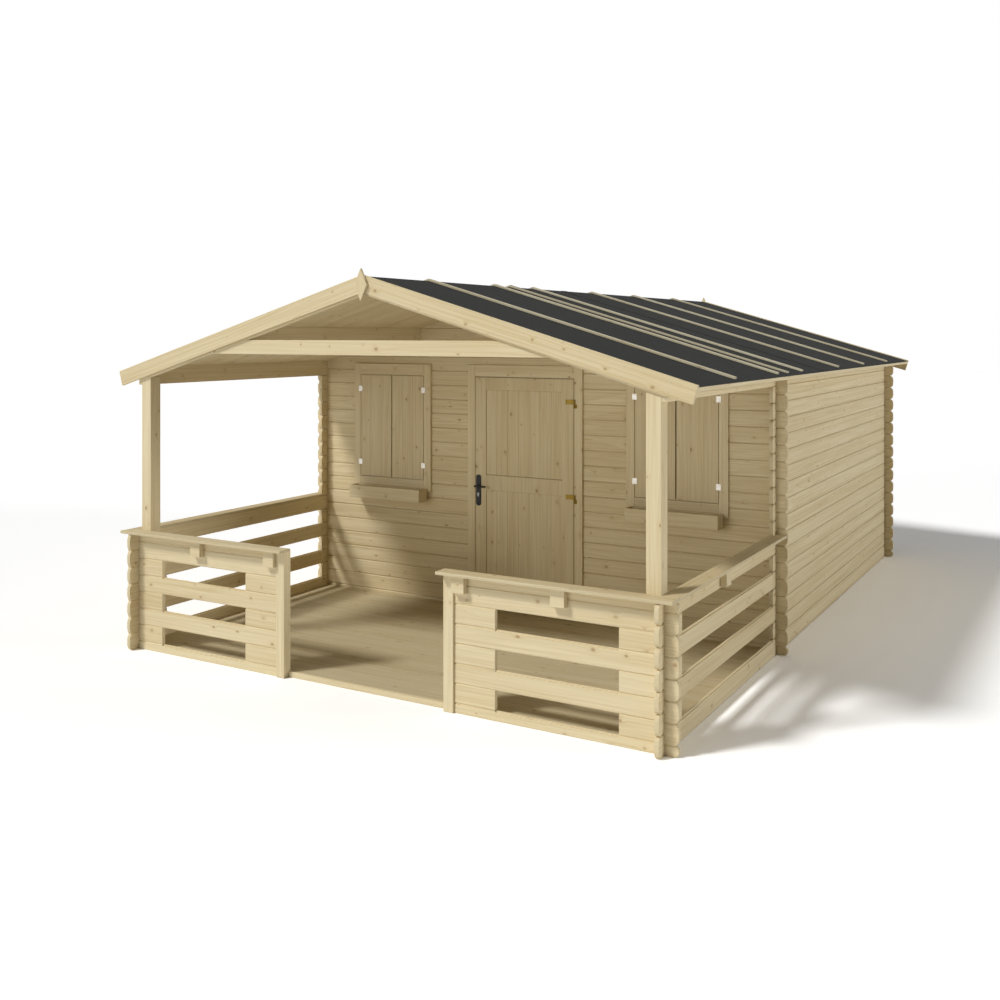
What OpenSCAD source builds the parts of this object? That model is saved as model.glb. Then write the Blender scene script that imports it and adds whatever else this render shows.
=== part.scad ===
// Log cabin garden shed with a roofed porch.
// x runs along the front, y from the porch to the back, z up.
// Pieces are drawn with y = 0 on the outer face of the cabin's front wall,
// then moved so that the origin is the middle of the footprint at ground level.

/* [Logs] */
// Height of one log
log_h = 117; // [90:1:150]
// Thickness of a log
log_t = 28; // [19:1:45]
// Length of a log past the corner where it crosses another
log_tip = 80; // [50:1:120]
// Depth of the rounding at a log's end corner
tip_cut = 30; // [10:1:40]
// Height of the rounding at a log's end corner
tip_round = 38; // [15:1:52]
// Depth of the V groove between two logs
groove_d = 6; // [2:0.5:8]
// Half the height of the V groove between two logs
groove_h = 7; // [3:0.5:10]

/* [Cabin] */
// Width over the side walls
cabin_w = 4000; // [3600:10:4600]
// Depth over the front and rear walls
cabin_d = 3916; // [3000:10:5000]
// Rows of logs in a side wall
wall_rows = 17; // [17:1:20]
// Thickness of the floors
floor_t = 35; // [20:1:45]

/* [Porch] */
// Distance from the cabin's front wall to the front of the railing
porch_d = 2110; // [1600:10:2600]
// Rows of logs in the railing
rail_rows = 7; // [7:2:9]
// Half the width of the entrance
entrance_half = 613; // [450:1:700]
// Width of the end posts beside the entrance
end_post_w = 70; // [50:1:90]
// How far the end posts stand in front of the railing
end_post_front = 14; // [5:1:30]
// How far the end posts stand behind the railing
end_post_back = 22; // [5:1:40]
// Length of the spacer blocks beside the entrance
block_in = 278; // [150:1:320]
// Length of the spacer blocks at the corners
block_out = 263; // [150:1:300]
// Height of the tongues along the railing boards below the gaps
tongue_h = 9; // [4:1:12]
// Depth of the tongues' shoulders behind the boards' faces
tongue_in = 9; // [5:1:11]
// Thickness of the rail caps
cap_t = 20; // [15:1:30]
// Overhang of the rail caps outside the railing
cap_over = 76; // [60:1:90]
// Overhang of the rail caps at the entrance
cap_end = 18; // [5:1:30]
// Width of the corbels under the caps
corbel_w = 90; // [60:1:110]
// Height of the corbels
corbel_h = 104; // [60:1:115]
// Depth of the corbels
corbel_d = 42; // [30:1:58]
// Distance between the two corbels of a front panel
corbel_pitch = 654; // [500:1:800]
// Distance of the side corbels' middle from the cabin's front wall
corbel_side = 1160; // [900:10:1400]
// Side of the square corner posts
post_w = 90; // [70:1:120]

/* [Roof] */
// Slope of the roof
pitch = 16.3; // [12:0.1:20]
// Thickness of the roof boards
deck_t = 18; // [15:1:25]
// Gap that the roof boards and fascias keep to what lies on or under them
seat = 0.1; // [0.05:0.05:0.5]
// Thickness of the felt
felt_t = 3; // [2:0.5:5]
// Overhang of the roof past the side walls
eave_over = 175; // [120:1:250]
// Overhang of the roof past the rear wall
rear_over = 238; // [150:1:350]
// Height of the eave fascias
fascia_h = 25; // [22:1:60]
// Thickness of the eave fascias
fascia_t = 20; // [15:1:25]
// Height of the barge boards, square to the slope
barge_h = 107; // [80:1:140]
// Thickness of the barge boards
barge_t = 20; // [15:1:28]
// Height of the barge boards above the underside of the roof boards
barge_rise = 29; // [21:1:35]
// Depth of the front rafters below the roof boards
rafter_h = 92; // [80:1:110]
// Thickness of the front rafters and the tie beam
rafter_t = 28; // [20:1:45]
// Height of the tie beam
tie_h = 95; // [70:1:120]
// Height of the tie beam's underside above the wall tops
tie_rise = 111; // [60:1:150]
// Distance of a purlin's inner face from the middle
purlin_x = 990; // [800:1:1200]
// Width of the purlins
purlin_w = 45; // [40:1:70]
// Height of the purlins
purlin_h = 110; // [90:1:140]
// Height of the ridge purlin
ridge_purlin_h = 92; // [80:1:95]
// Width of the felt battens
batten_w = 32; // [20:1:50]
// Height of the felt battens
batten_h = 15; // [10:1:25]
// Middles of the battens, measured back from the cabin's front wall
batten_places = [-1350, -460, -220, 150, 1250, 2195, 3230];
// Distance of the battens' ends from the eave
batten_back = 40; // [20:1:80]
// Height of the finials
finial_h = 207; // [150:1:250]
// Width of the finials
finial_w = 96; // [70:1:130]
// Thickness of the finials
finial_t = 20; // [15:1:28]
// Distance of a finial's middle below the ridge of the roof boards' underside
finial_drop = 34; // [0:1:60]

/* [Door] */
// Width of the door leaf
leaf_w = 880; // [700:1:950]
// Height of the top of the door leaf above the ground
leaf_top = 1887; // [1780:1:1900]
// Thickness of the door leaf
leaf_t = 40; // [30:1:45]
// Gap all round the door leaf
leaf_gap = 5; // [5:0.5:8]
// Width of the stiles and the top rail
stile_w = 100; // [70:1:130]
// Height of the underside of the middle rail above the ground
mid_rail_z = 985; // [800:1:1100]
// Height of the middle rail
mid_rail_h = 120; // [80:1:160]
// Height of the bottom rail
bottom_rail_h = 150; // [100:1:200]
// Depth of the panels behind the face of the leaf
panel_back = 8; // [3:1:12]
// Height of the sill above the floor
sill_h = 25; // [15:1:40]
// Thickness of the frame's jambs and head
jamb_t = 30; // [20:1:40]
// Depth of the frame behind the front of the wall
frame_d = 60; // [50:1:90]
// Width of the stops that the leaf closes against
stop_w = 15; // [10:1:20]
// Width of the casing boards beside the door and the windows
casing_w = 68; // [50:1:90]
// Height of the casing boards over the door and the windows
casing_h = 94; // [60:1:100]
// Thickness of the casing boards
casing_t = 20; // [15:1:25]

/* [Hinges and handle] */
// Height of a door hinge's strap
strap_h = 36; // [25:1:50]
// Length of a door hinge's strap, from the knuckle's axis
strap_len = 76; // [50:1:95]
// Thickness of a door hinge's strap
strap_t = 3; // [2:0.5:4]
// Radius of a door hinge's knuckle
knuckle_r = 7; // [5:0.5:9]
// Height of the pin block below a strap
pin_h = 29; // [20:1:40]
// Width of a pin block's foot on the casing
pin_foot = 20; // [14:1:30]
// Distance of a hinge's axis from the leaf's edge
hinge_out = 10; // [6:1:14]
// Height of the upper strap's top above the ground
upper_hinge_z = 1730; // [1500:1:1780]
// Height of the lower strap's top above the ground
lower_hinge_z = 999; // [300:1:1100]
// Gap between a knuckle and the pin block or the casing
knuckle_gap = 0.5; // [0.3:0.1:0.9]
// Width of the handle plate
plate_w = 45; // [35:1:60]
// Height of the handle plate
plate_h = 250; // [180:1:280]
// Thickness of the handle plate
plate_t = 8; // [4:1:12]
// Distance of the handle's spindle from the leaf's free edge
backset = 32; // [28:1:60]
// Height of the lever above the ground
lever_z = 1014; // [900:1:1100]
// Height of the lever above the middle of its plate
lever_rise = 36; // [0:1:60]
// Length of the lever from the spindle towards the hinges
lever_len = 92; // [60:1:120]
// Length of the lever's tail behind the spindle
lever_tail = 14; // [10:1:20]
// Distance of the lever's middle from the handle plate
lever_out = 45; // [35:1:60]
// Radius of the lever
lever_r = 8; // [6:0.5:10]
// Bevel at the lever's ends
lever_bevel = 4; // [1:0.5:5]
// Radius of the lever's neck
neck_r = 7; // [5:0.5:8]
// Gap between the lever's neck and the handle plate
neck_gap = 0.3; // [0.2:0.1:0.5]

/* [Windows] */
// Distance of a window's middle from the middle of the front
window_x = 1268; // [1220:1:1400]
// Width over a closed pair of shutters
shutters_w = 642; // [500:1:700]
// Height of the underside of the shutters above the ground
shutters_z = 1024; // [1015:1:1100]
// Height of the shutters
shutters_h = 861; // [700:1:870]
// Gap round and between the shutters
shutter_gap = 4; // [2:0.5:6]
// Gap between the two leaves of a pair of shutters
meeting_gap = 10; // [4:1:16]
// Overlap of the shutters on the wall
shutter_lap = 20; // [10:1:40]
// Width of a window box
box_w = 716; // [600:1:760]
// Height of a window box
box_h = 104; // [80:1:140]
// Depth of a window box
box_d = 120; // [100:1:180]
// Thickness of a window box's boards
box_t = 18; // [12:1:22]
// Height of the underside of the window boxes above the ground
box_z = 850; // [750:1:900]
// Width of a shutter hinge
shutter_hinge_w = 38; // [25:1:50]
// Height of a shutter hinge
shutter_hinge_h = 45; // [30:1:60]
// Thickness of a shutter hinge
shutter_hinge_t = 4; // [2:0.5:6]
// Distance of the shutter hinges from the shutters' ends
shutter_hinge_in = 117; // [80:1:200]

/* [Hidden] */
$fn = 48;

spruce = "#d9c596";
spruce_shade = "#c9b384";
felt_grey = "#3b3c3d";
brass = "#b08d3c";
black = "#1c1c1c";
white = "#e9e6dc";

half_w = cabin_w / 2;
half_log = log_h / 2;
wall_top = wall_rows * log_h;
rail_top = rail_rows * log_h;
plate_z = wall_top - log_h;
rail_in_y = log_t - porch_d;
roof_front = rail_in_y;
roof_rear = cabin_d + rear_over;
ridge_z = wall_top + half_w * tan(pitch);
slope_len = (half_w + eave_over) / cos(pitch);
felt_n = deck_t + felt_t;

front_most = -porch_d - log_tip;
rear_most = roof_rear + barge_t + finial_t;
mid_y = (front_most + rear_most) / 2;

// The door leaf is flush with its casing, and its bottom clears the sill
leaf_front = -casing_t;
leaf_back = leaf_front + leaf_t;
leaf_z = floor_t + sill_h + leaf_gap;
door_half = leaf_w / 2 + leaf_gap;
door_head = leaf_top + leaf_gap;
wall_cut_half = door_half + jamb_t;
gable_z = (wall_rows - 0.5) * log_h;
hinge_x = leaf_w / 2 + hinge_out;
hinge_y = leaf_front - knuckle_gap - knuckle_r;
spindle_x = backset - leaf_w / 2;
plate_front = leaf_front - plate_t;

// Height of the roof boards' underside, moved by n square to the slope, over a point at x
function roof_z(x, n = 0) = ridge_z - abs(x) * tan(pitch) + n / cos(pitch);

// A point at length s down the right slope and n above the roof boards' underside
function on_slope(s, n) = [s * cos(pitch) + n * sin(pitch), ridge_z - s * sin(pitch) + n * cos(pitch)];

// Heights between the log rows of the side walls and of the front and rear walls
function side_joints(rows) = [for (k = [0 : rows]) k * log_h];
function cross_joints(rows) = concat([0], [for (k = [0 : rows - 1]) (k + 0.5) * log_h]);

// Steps of the rounding at a log's end corner, and its largest share of the log's height
ROUND = [0, 30, 60, 90];
tip_share = 0.45;

// The rounded end of one log, from its lower to its upper edge, at u and facing dir
function log_end(u, dir, z0, z1) =
    let (r = min(tip_round, tip_share * (z1 - z0)))
    concat(
        [for (a = ROUND) [u - dir * tip_cut * (1 - sin(a)), z0 + r * (1 - cos(a))]],
        [for (a = ROUND) [u - dir * tip_cut * (1 - cos(a)), z1 - r * (1 - sin(a))]]
    );

// The flat end of one log
function flat_end(u, z0, z1) = [[u, z0], [u, z1]];

// The end of a stack of logs, rounded except for the rows in flat
function stack_end(u, dir, joints, flat = []) = [
    for (i = [0 : len(joints) - 2])
        each (len(search(i, flat)) > 0
            ? flat_end(u, joints[i], joints[i + 1])
            : log_end(u, dir, joints[i], joints[i + 1]))
];

function reversed(list) = [for (i = [len(list) - 1 : -1 : 0]) list[i]];

// A profile in x and z, drawn out from y0 to y1
module prism_y(y0, y1) {
    translate([0, y1, 0])
        rotate([90, 0, 0])
            linear_extrude(height = y1 - y0)
                children();
}

// A profile in y and z, drawn out from x0 to x1
module prism_x(x0, x1) {
    translate([x0, 0, 0])
        rotate([90, 0, 90])
            linear_extrude(height = x1 - x0)
                children();
}

// A box between two corners
module block(low, high) {
    translate(low)
        cube(high - low);
}

// A piece and its copy on the other side of the cabin
module both_sides() {
    children();
    mirror([1, 0, 0])
        children();
}

// Moves a piece from the front wall's frame to the part's frame
module placed() {
    translate([0, -mid_y, 0])
        children();
}

// Section of a log wall from v0 to v0 + log_t with V grooves at its joints
module log_section(v0, joints, top_a, top_b) {
    inner = [for (i = [1 : len(joints) - 2]) joints[i]];
    face_a = [for (z = inner) each [[v0, z - groove_h], [v0 + groove_d, z], [v0, z + groove_h]]];
    v1 = v0 + log_t;
    face_b = [for (z = inner) each [[v1, z - groove_h], [v1 - groove_d, z], [v1, z + groove_h]]];
    polygon(concat(
        [[v0, joints[0]]],
        face_a,
        [[v0, top_a], [v1, top_b]],
        reversed(face_b),
        [[v1, joints[0]]]
    ));
}

// Half laps where the cross logs of the front and rear walls pass through a side wall
module side_laps(v, rows) {
    for (k = [0 : rows])
        translate([v, (k - 0.25) * log_h])
            square([log_t, half_log]);
}

// Half laps where the side walls' logs pass through a front or rear wall
module cross_laps(u, rows) {
    for (k = [0 : rows - 1])
        translate([u, (k + 0.25) * log_h])
            square([log_t, half_log]);
}

// The right side wall: logs with rounded tips, flat where the porch's logs go on
module side_wall() {
    joints = side_joints(wall_rows);
    flat_rows = concat([for (k = [0 : 2 : rail_rows - 1]) k], [wall_rows - 1]);
    intersection() {
        prism_x(half_w - log_t, half_w)
            difference() {
                polygon(concat(
                    stack_end(cabin_d + log_tip, 1, joints),
                    [[cabin_d + log_tip - tip_cut, roof_z(half_w - log_t)]],
                    [[-log_tip, roof_z(half_w - log_t)]],
                    reversed(stack_end(-log_tip, -1, joints, flat_rows))
                ));
                side_laps(0, wall_rows);
                side_laps(cabin_d - log_t, wall_rows);
            }
        prism_y(-log_tip, cabin_d + log_tip)
            log_section(half_w - log_t, joints, roof_z(half_w - log_t), roof_z(half_w));
    }
}

// Outline of the front and rear walls: log ends, laps and the gable's slopes
module cross_outline() {
    rows = ceil((ridge_z - half_log) / log_h) + 1;
    joints = cross_joints(rows);
    tip_x = half_w + log_tip;
    intersection() {
        difference() {
            polygon(concat(
                stack_end(tip_x, 1, joints),
                reversed(stack_end(-tip_x, -1, joints))
            ));
            cross_laps(half_w - log_t, wall_rows);
            cross_laps(-half_w, wall_rows);
        }
        polygon([
            [-tip_x, 0], [tip_x, 0], [tip_x, roof_z(tip_x)], [0, ridge_z], [-tip_x, roof_z(tip_x)]
        ]);
    }
}

// Ends of the purlins, whose tops follow the roof, raised by over where they are cut out of a gable
module purlin_profiles(over = 0) {
    both_sides()
        polygon([
            [purlin_x, roof_z(purlin_x) - purlin_h],
            [purlin_x + purlin_w, roof_z(purlin_x) - purlin_h],
            [purlin_x + purlin_w, roof_z(purlin_x + purlin_w) + over],
            [purlin_x, roof_z(purlin_x) + over]
        ]);
    polygon([
        [-purlin_w / 2, ridge_z - ridge_purlin_h],
        [purlin_w / 2, ridge_z - ridge_purlin_h],
        [purlin_w / 2, roof_z(purlin_w / 2) + over],
        [0, ridge_z + over],
        [-purlin_w / 2, roof_z(purlin_w / 2) + over]
    ]);
}

// A front or rear wall at y0, between x0 and x1 and between z0 and z1
module cross_wall(y0, x0, x1, z0, z1) {
    joints = cross_joints(ceil((ridge_z - half_log) / log_h) + 1);
    top = joints[len(joints) - 1];
    intersection() {
        prism_y(y0, y0 + log_t)
            intersection() {
                difference() {
                    cross_outline();
                    purlin_profiles(purlin_h);
                }
                translate([x0, z0])
                    square([x1 - x0, z1 - z0]);
            }
        prism_x(x0, x1)
            log_section(y0, joints, top, top);
    }
}

module left_wall() {
    color(spruce) placed() mirror([1, 0, 0]) side_wall();
}

module right_wall() {
    color(spruce) placed() side_wall();
}

module rear_wall() {
    tip_x = half_w + log_tip;
    color(spruce)
        placed()
            cross_wall(cabin_d - log_t, -tip_x, tip_x, 0, ridge_z);
}

// The front wall right of the door, with the window cut through it
module front_wall_side() {
    color(spruce)
        placed()
            difference() {
                cross_wall(0, wall_cut_half, half_w + log_tip, 0, gable_z);
                block(
                    [window_x - shutters_w / 2 + shutter_lap, -log_t, shutters_z + shutter_lap],
                    [window_x + shutters_w / 2 - shutter_lap, 2 * log_t, shutters_z + shutters_h - shutter_lap]
                );
            }
}

module front_wall_left() {
    mirror([1, 0, 0]) front_wall_side();
}

module front_wall_right() {
    front_wall_side();
}

// The front wall over the door, up to the roof
module front_gable() {
    tip_x = half_w + log_tip;
    color(spruce)
        placed()
            cross_wall(0, -tip_x, tip_x, gable_z, ridge_z);
}

module cabin_floor() {
    color(spruce_shade)
        placed()
            block([log_t - half_w, log_t, 0], [half_w - log_t, cabin_d - log_t, floor_t]);
}

module porch_floor() {
    post_in = entrance_half + end_post_w;
    color(spruce_shade)
        placed()
            difference() {
                block([log_t - half_w, rail_in_y, 0], [half_w - log_t, 0, floor_t]);
                both_sides()
                    block(
                        [entrance_half, rail_in_y - 1, -1],
                        [post_in, rail_in_y + end_post_back, floor_t + 1]
                    );
            }
}

// The cuts beside the tongue on a board whose upper edge is at z and whose first face is at u
module tongue_shoulders(u, z) {
    for (x = [u - 1, u + log_t - tongue_in])
        translate([x, z - tongue_h])
            square([tongue_in + 1, tongue_h + 1]);
}

// A front railing panel: logs with open rows between spacer blocks
module front_rail_side() {
    joints = cross_joints(rail_rows);
    all_joints = concat(joints, [rail_top]);
    tip_x = half_w + log_tip;
    x0 = entrance_half + end_post_w;
    color(spruce)
        placed()
            difference() {
                intersection() {
                    prism_y(-porch_d, rail_in_y)
                        difference() {
                            polygon(concat(
                                stack_end(tip_x, 1, all_joints),
                                [[x0, rail_top], [x0, 0]]
                            ));
                            cross_laps(half_w - log_t, rail_rows);
                            for (k = [0 : 2 : rail_rows - 2])
                                translate([x0 + block_in, (k + 0.5) * log_h])
                                    square([half_w - block_out - x0 - block_in, log_h]);
                        }
                    prism_x(x0, tip_x)
                        log_section(-porch_d, all_joints, rail_top, rail_top);
                }
                for (k = [0 : 2 : rail_rows - 2])
                    prism_x(x0 + block_in, half_w - block_out)
                        tongue_shoulders(-porch_d, (k + 0.5) * log_h);
            }
}

module front_rail_left() {
    mirror([1, 0, 0]) front_rail_side();
}

module front_rail_right() {
    front_rail_side();
}

// A side railing: every second log runs back to the cabin, short blocks between them at the corner
module side_rail_side() {
    joints = side_joints(rail_rows);
    back = [for (i = [0 : rail_rows - 1])
        each flat_end(i % 2 == 0 ? -log_tip : block_out - porch_d, joints[i], joints[i + 1])];
    color(spruce)
        placed()
            difference() {
                intersection() {
                    prism_x(half_w - log_t, half_w)
                        difference() {
                            polygon(concat(
                                back,
                                reversed(stack_end(-porch_d - log_tip, -1, joints))
                            ));
                            side_laps(-porch_d, rail_rows);
                        }
                    prism_y(-porch_d - log_tip, 0)
                        log_section(half_w - log_t, joints, rail_top, rail_top);
                }
                for (i = [1 : 2 : rail_rows - 2])
                    prism_y(block_out - porch_d, 0)
                        tongue_shoulders(half_w - log_t, joints[i]);
            }
}

module side_rail_left() {
    mirror([1, 0, 0]) side_rail_side();
}

module side_rail_right() {
    side_rail_side();
}

// Posts that end the front panels beside the entrance
module end_posts() {
    color(spruce)
        placed()
            both_sides()
                block(
                    [entrance_half, -porch_d - end_post_front, 0],
                    [entrance_half + end_post_w, rail_in_y + end_post_back, rail_top]
                );
}

module front_caps() {
    color(spruce)
        placed()
            both_sides()
                block(
                    [entrance_half - cap_end, -porch_d - cap_over, rail_top],
                    [half_w + cap_over, rail_in_y, rail_top + cap_t]
                );
}

// Caps of the side rails, notched round the wall's log tips
module side_caps() {
    color(spruce)
        placed()
            both_sides()
                difference() {
                    block([half_w - log_t, rail_in_y, rail_top], [half_w + cap_over, 0, rail_top + cap_t]);
                    block([half_w - log_t - 1, -log_tip, rail_top - 1], [half_w, 1, rail_top + cap_t + 1]);
                }
}

// Corbels under the caps: two on a front panel and one on a side rail
module corbels() {
    first_x = entrance_half + end_post_w;
    side_y = -corbel_side - corbel_w / 2;
    color(spruce)
        placed()
            both_sides() {
                for (x = [first_x, first_x + corbel_pitch])
                    block([x, -porch_d - corbel_d, rail_top - corbel_h], [x + corbel_w, -porch_d, rail_top]);
                block(
                    [half_w, side_y, rail_top - corbel_h],
                    [half_w + corbel_d, side_y + corbel_w, rail_top]
                );
            }
}

// Outline of a strip of the right slope between n0 and n1, from the ridge to length s
module slope_strip(n0, n1, s) {
    polygon([
        [0, ridge_z + n0 / cos(pitch)],
        on_slope(s, n0),
        on_slope(s, n1),
        [0, ridge_z + n1 / cos(pitch)]
    ]);
}

// Square posts in the porch's corners, cut to the rafters
module corner_posts() {
    x1 = half_w - log_t;
    x0 = x1 - post_w;
    color(spruce)
        placed()
            both_sides()
                prism_y(rail_in_y, rail_in_y + post_w)
                    polygon([
                        [x0, floor_t], [x1, floor_t], [x1, roof_z(x1, -rafter_h)], [x0, roof_z(x0, -rafter_h)]
                    ]);
}

// The front rafter's outline on the right slope, which ends over the side wall
module rafter_outline() {
    polygon([
        [0, ridge_z - rafter_h / cos(pitch)],
        [half_w, roof_z(half_w, -rafter_h)],
        [half_w, roof_z(half_w)],
        [0, ridge_z]
    ]);
}

// Top logs of the side walls that run on over the porch to the posts
module porch_plates() {
    color(spruce)
        placed()
            both_sides()
                difference() {
                    prism_y(roof_front, -log_tip)
                        polygon([
                            [half_w - log_t, plate_z], [half_w, plate_z],
                            [half_w, roof_z(half_w)], [half_w - log_t, roof_z(half_w - log_t)]
                        ]);
                    prism_y(roof_front - 1, roof_front + rafter_t)
                        rafter_outline();
                }
}

module front_rafters() {
    color(spruce)
        placed()
            prism_y(roof_front, roof_front + rafter_t) {
                rafter_outline();
                mirror([1, 0]) rafter_outline();
            }
}

// Beam between the front rafters, its ends cut to them
module tie_beam() {
    z0 = wall_top + tie_rise;
    z1 = z0 + tie_h;
    x_at = function (z) (ridge_z - rafter_h / cos(pitch) - z) / tan(pitch);
    color(spruce)
        placed()
            prism_y(roof_front, roof_front + rafter_t)
                polygon([[-x_at(z0), z0], [x_at(z0), z0], [x_at(z1), z1], [-x_at(z1), z1]]);
}

module purlins() {
    color(spruce)
        placed()
            prism_y(roof_front + rafter_t, roof_rear)
                purlin_profiles();
}

module deck_side() {
    color(spruce_shade)
        placed()
            prism_y(roof_front, roof_rear)
                slope_strip(seat, deck_t - seat, slope_len - fascia_t - seat);
}

module roof_left() {
    mirror([1, 0, 0]) deck_side();
}

module roof_right() {
    deck_side();
}

module felt_side() {
    color(felt_grey)
        placed()
            prism_y(roof_front, roof_rear)
                slope_strip(deck_t, felt_n, slope_len);
}

module felt_left() {
    mirror([1, 0, 0]) felt_side();
}

module felt_right() {
    felt_side();
}

// Battens over the felt's laps, set out from the front wall
module battens_side() {
    color(spruce)
        placed()
            for (y = batten_places)
                prism_y(y - batten_w / 2, y + batten_w / 2)
                    slope_strip(felt_n, felt_n + batten_h, slope_len - batten_back);
}

module battens_left() {
    mirror([1, 0, 0]) battens_side();
}

module battens_right() {
    battens_side();
}

module eave_fascias() {
    color(spruce)
        placed()
            both_sides()
                prism_y(roof_front, roof_rear)
                    polygon([
                        on_slope(slope_len - fascia_t, deck_t - fascia_h),
                        on_slope(slope_len, deck_t - fascia_h),
                        on_slope(slope_len, deck_t - seat),
                        on_slope(slope_len - fascia_t, deck_t - seat)
                    ]);
}

// A barge board on the right slope from y0 back
module barge(y0) {
    color(spruce)
        placed()
            prism_y(y0, y0 + barge_t)
                slope_strip(barge_rise - barge_h, barge_rise, slope_len);
}

module front_barge_left() {
    mirror([1, 0, 0]) barge(roof_front - barge_t);
}

module front_barge_right() {
    barge(roof_front - barge_t);
}

module rear_barge_left() {
    mirror([1, 0, 0]) barge(roof_rear);
}

module rear_barge_right() {
    barge(roof_rear);
}

// Diamond boards over the meeting barge boards
module finials() {
    z = ridge_z - finial_drop;
    color(spruce)
        placed()
            for (y = [roof_front - barge_t - finial_t, roof_rear + barge_t])
                prism_y(y, y + finial_t)
                    polygon([
                        [0, z - finial_h / 2], [finial_w / 2, z], [0, z + finial_h / 2], [-finial_w / 2, z]
                    ]);
}

// Boards round the doorway on the wall's face
module door_casing() {
    outer = door_half + casing_w;
    color(spruce)
        placed()
            prism_y(-casing_t, 0)
                difference() {
                    translate([-outer, floor_t])
                        square([2 * outer, door_head + casing_h - floor_t]);
                    translate([-door_half, floor_t - 1])
                        square([2 * door_half, door_head - floor_t + 1]);
                }
}

// Lining of the doorway, with a sill and stops behind the leaf
module door_frame() {
    stop_half = door_half - stop_w;
    color(spruce_shade)
        placed() {
            block([-wall_cut_half, 0, 0], [wall_cut_half, log_t, floor_t]);
            prism_y(0, frame_d)
                difference() {
                    translate([-wall_cut_half, floor_t])
                        square([2 * wall_cut_half, gable_z - floor_t]);
                    translate([-door_half, floor_t + sill_h])
                        square([2 * door_half, door_head - floor_t - sill_h]);
                }
            prism_y(leaf_back + leaf_gap, frame_d)
                difference() {
                    translate([-door_half, floor_t + sill_h])
                        square([2 * door_half, door_head - floor_t - sill_h]);
                    translate([-stop_half, floor_t + sill_h])
                        square([2 * stop_half, door_head - stop_w - floor_t - sill_h]);
                }
        }
}

// A knuckle on the hinges' axis from z0 to z1
module knuckle(z0, z1) {
    translate([hinge_x, hinge_y, z0])
        cylinder(r = knuckle_r, h = z1 - z0);
}

// The hinges' pin blocks on the casing, each below its strap
module door_hinge_pins() {
    color(brass)
        placed()
            for (top = [lower_hinge_z, upper_hinge_z]) {
                z1 = top - strap_h - knuckle_gap;
                knuckle(z1 - pin_h, z1);
                block([hinge_x, hinge_y, z1 - pin_h], [hinge_x + knuckle_r, leaf_front, z1]);
                block(
                    [hinge_x, leaf_front - strap_t, z1 - pin_h],
                    [hinge_x + pin_foot, leaf_front, z1]
                );
            }
}

// The hinges' straps on the leaf, each with a knuckle that clears the casing
module door_hinge_straps() {
    leaf_x = leaf_w / 2;
    color(brass)
        placed()
            for (top = [lower_hinge_z, upper_hinge_z]) {
                z0 = top - strap_h;
                knuckle(z0, top);
                block([hinge_x - strap_len, leaf_front - strap_t, z0], [leaf_x, leaf_front, top]);
                block(
                    [leaf_x - knuckle_r, leaf_front - knuckle_gap - strap_t, z0],
                    [hinge_x, leaf_front - knuckle_gap, top]
                );
            }
}

// The leaf: stiles and rails with an upper and a lower sunk panel on both faces
module door_leaf() {
    panel_x = leaf_w / 2 - stile_w;
    panels = [
        [leaf_z + bottom_rail_h, mid_rail_z],
        [mid_rail_z + mid_rail_h, leaf_top - stile_w]
    ];
    color(spruce)
        placed()
            difference() {
                block([-leaf_w / 2, leaf_front, leaf_z], [leaf_w / 2, leaf_back, leaf_top]);
                for (p = panels) {
                    block([-panel_x, leaf_front - 1, p[0]], [panel_x, leaf_front + panel_back, p[1]]);
                    block([-panel_x, leaf_back - panel_back, p[0]], [panel_x, leaf_back + 1, p[1]]);
                }
            }
}

// Oblong plate behind the lever
module handle_plate() {
    z = lever_z - lever_rise;
    half = (plate_h - plate_w) / 2;
    color(black)
        placed()
            prism_y(plate_front, leaf_front)
                translate([spindle_x, z]) {
                    square([plate_w, 2 * half], center = true);
                    for (end = [-half, half])
                        translate([0, end])
                            circle(d = plate_w);
                }
}

// The lever: a neck on the spindle's axis and a round grip towards the hinges
module handle_lever() {
    grip = lever_len + lever_tail;
    color(black)
        placed()
            translate([spindle_x, plate_front - neck_gap, lever_z]) {
                rotate([90, 0, 0])
                    cylinder(r = neck_r, h = lever_out);
                translate([-lever_tail, -lever_out, 0])
                    rotate([0, 90, 0])
                        rotate_extrude()
                            polygon([
                                [0, 0], [lever_r - lever_bevel, 0], [lever_r, lever_bevel],
                                [lever_r, grip - lever_bevel], [lever_r - lever_bevel, grip], [0, grip]
                            ]);
            }
}

// Boards round the shuttered windows on the wall's face
module window_casings() {
    inner_w = shutters_w + 2 * shutter_gap;
    inner_h = shutters_h + 2 * shutter_gap;
    color(spruce)
        placed()
            both_sides()
                prism_y(-casing_t, 0)
                    translate([window_x - inner_w / 2, shutters_z - shutter_gap])
                        difference() {
                            translate([-casing_w, -casing_h])
                                square([inner_w + 2 * casing_w, inner_h + 2 * casing_h]);
                            square([inner_w, inner_h]);
                        }
}

// Closed pairs of shutters, flush with their casing
module shutters() {
    leaf = (shutters_w - meeting_gap) / 2;
    color(spruce)
        placed()
            both_sides()
                for (x = [window_x - shutters_w / 2, window_x + meeting_gap / 2])
                    block([x, -casing_t, shutters_z], [x + leaf, 0, shutters_z + shutters_h]);
}

// Small hinges across the gap between the shutters and their casing
module shutter_hinges() {
    front = -casing_t - shutter_hinge_t;
    color(white)
        placed()
            both_sides()
                for (x = [-1, 1], z = [shutter_hinge_in, shutters_h - shutter_hinge_in])
                    translate([window_x + x * (shutters_w + shutter_gap) / 2, front, shutters_z + z])
                        translate([-shutter_hinge_w / 2, 0, -shutter_hinge_h / 2])
                            cube([shutter_hinge_w, shutter_hinge_t, shutter_hinge_h]);
}

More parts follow.
